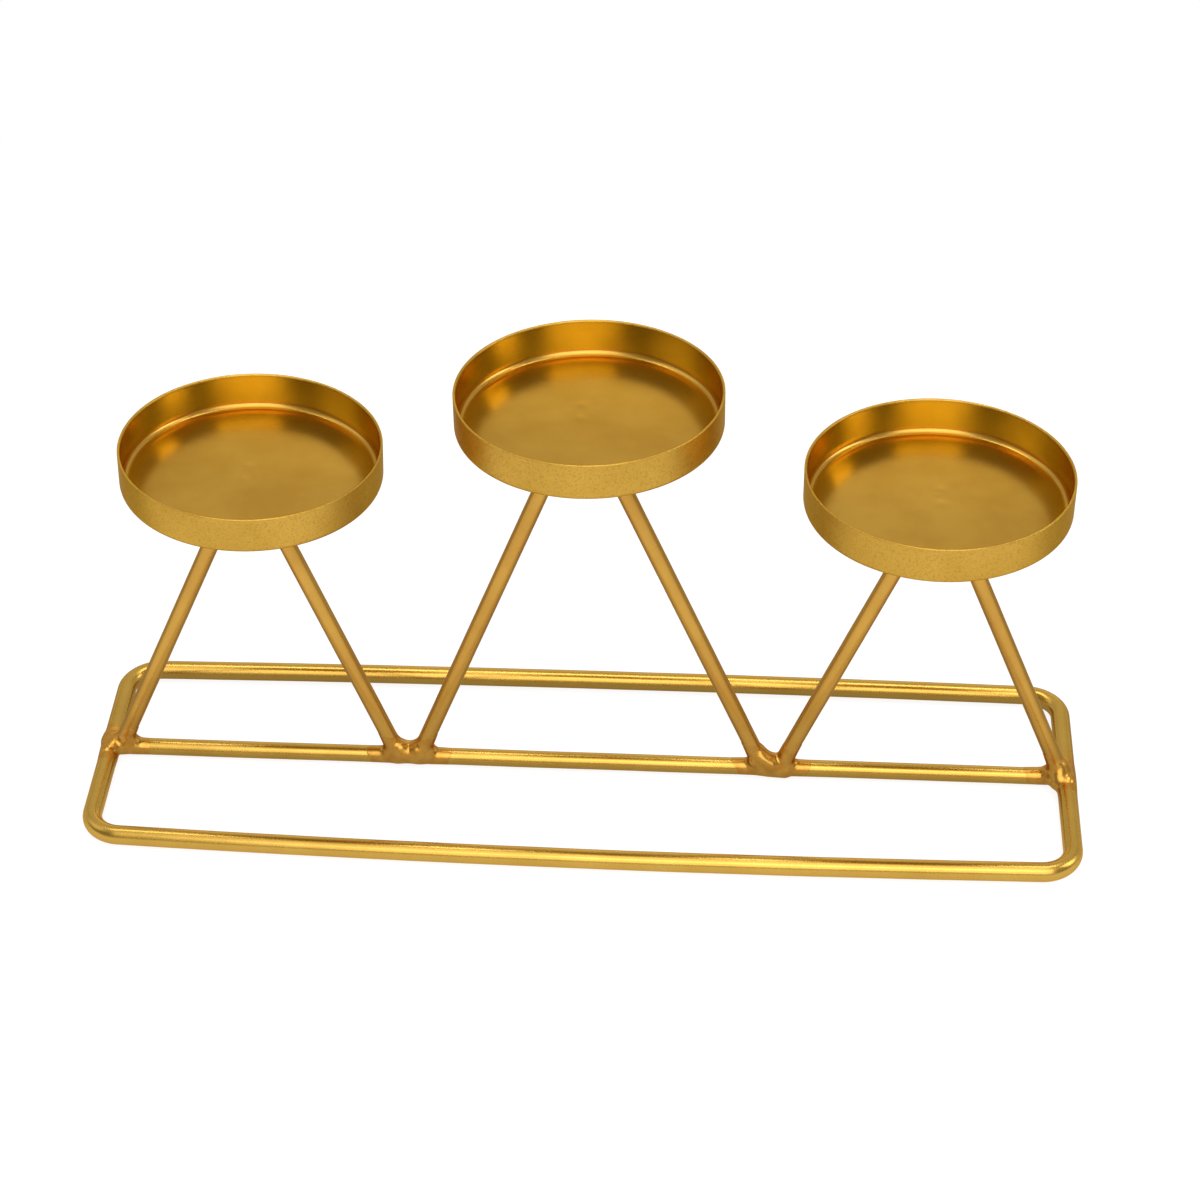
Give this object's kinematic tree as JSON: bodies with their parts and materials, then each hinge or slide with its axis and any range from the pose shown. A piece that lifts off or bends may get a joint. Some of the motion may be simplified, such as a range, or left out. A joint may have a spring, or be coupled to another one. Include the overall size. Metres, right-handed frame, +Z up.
{
  "type": "candlestick",
  "caption": "Long candle stand: round shallow cups on upside-down V trestles of bent wire, welded to a bar across a flat wire loop, in satin gold.",
  "frame": {"origin": "on the table, under the middle of the base", "axes": "+X along the base to the right as the picture shows it, +Y away from the front across the base, +Z up"},
  "size_m": [0.2996, 0.0896, 0.1367],
  "materials": {
    "base_wire": "satin gold plating on steel wire, bright streaks along it",
    "trestle_wire": "satin gold plating on steel wire, a little duller",
    "cup": "satin gold plating on pressed steel sheet, brushed round the wall",
    "weld": "plated weld metal, lumpy and shiny"
  },
  "bodies": {
    "root": {"base_loop": "base_wire", "centre_bar": "base_wire", "left_trestle": "trestle_wire", "middle_trestle": "trestle_wire", "right_trestle": "trestle_wire", "left_cup": "cup", "middle_cup": "cup", "right_cup": "cup", "left_end_weld": "weld", "left_notch_weld": "weld", "right_notch_weld": "weld", "right_end_weld": "weld", "left_cup_tacks": "weld", "middle_cup_tacks": "weld", "right_cup_tacks": "weld"}
  },
  "joints": []
}
